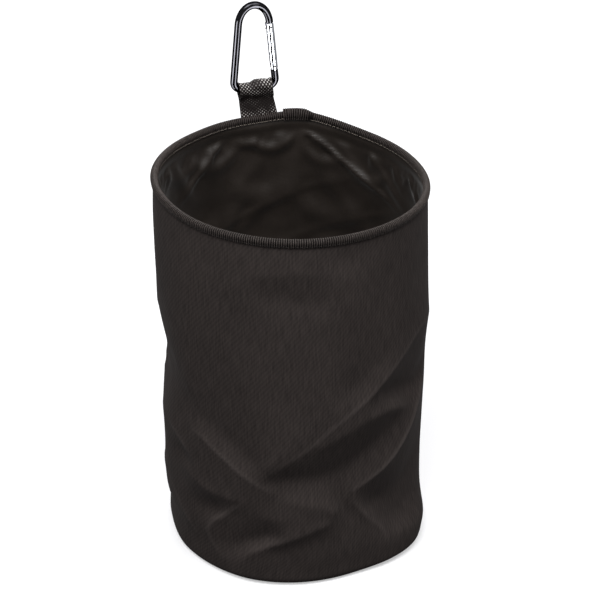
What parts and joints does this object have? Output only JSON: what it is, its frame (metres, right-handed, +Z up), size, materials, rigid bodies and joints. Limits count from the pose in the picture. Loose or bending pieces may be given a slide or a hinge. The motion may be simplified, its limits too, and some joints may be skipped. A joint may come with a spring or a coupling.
{
  "type": "peg bag",
  "caption": "Round lined cloth bag with a wired, tape-bound rim and a flat stiffened base, hung by a webbing loop and a sprung snap hook, for keeping clothes pegs.",
  "frame": {"origin": "middle of the base, on the floor", "axes": "+Z up the bag, +Y towards the back where the webbing loop is sewn, -Y the front, +X to the right when seen from the front"},
  "size_m": [0.1843, 0.1929, 0.3554],
  "materials": {
    "wall_cloth": "matt fine woven polyester, black",
    "lining_cloth": "smooth satin lining, black",
    "base_board": "plain sheet",
    "binding_tape": "ribbed tape, black",
    "webbing": "coarse woven webbing, black",
    "hook_black": "gloss black anodised",
    "gate_silver": "satin silver",
    "pin_steel": "plain",
    "spring_steel": "drawn wire"
  },
  "bodies": {
    "bag": {"outer_wall": "wall_cloth", "lining_wall": "lining_cloth", "base_panel": "wall_cloth", "base_board": "base_board", "base_lining": "lining_cloth", "rim_binding": "binding_tape", "rim_hoop": "spring_steel", "hoop_sleeve": "spring_steel", "loop_tab": "webbing"},
    "loop": {"hanging_loop": "webbing"},
    "hook": {"hook_body": "hook_black", "hinge_rivet": "pin_steel"},
    "gate": {"hook_gate": "gate_silver", "latch_pin": "pin_steel", "gate_spring": "spring_steel"},
    "plunger": {"gate_plunger": "pin_steel"}
  },
  "joints": [
    {"name": "loop_fold", "type": "hinge", "parent": "bag", "child": "loop", "pos_m": [0, 0.09265, 0.2718], "axis": [1, 0, 0], "range_deg": [-80, 80]},
    {"name": "hook_swing", "type": "hinge", "parent": "loop", "child": "hook", "pos_m": [0, 0.09265, 0.292], "axis": [1, 0, 0], "range_deg": [-90, 90]},
    {"name": "gate_open", "type": "hinge", "parent": "hook", "child": "gate", "pos_m": [0.0138, 0.09265, 0.30716], "axis": [0, -1, 0], "range_deg": [0, 30], "stiffness_Nm_per_rad": 0.03, "springref_deg": -17.19},
    {"name": "plunger_travel", "type": "slide", "parent": "gate", "child": "plunger", "axis": [-0.0896, 0, 0.996], "range_m": [0, 0.00088], "deforming": ["gate_spring"]}
  ],
  "couplings": [
    {"joint": "plunger_travel", "follows": "gate_open", "m_per_rad": 0.0016}
  ]
}
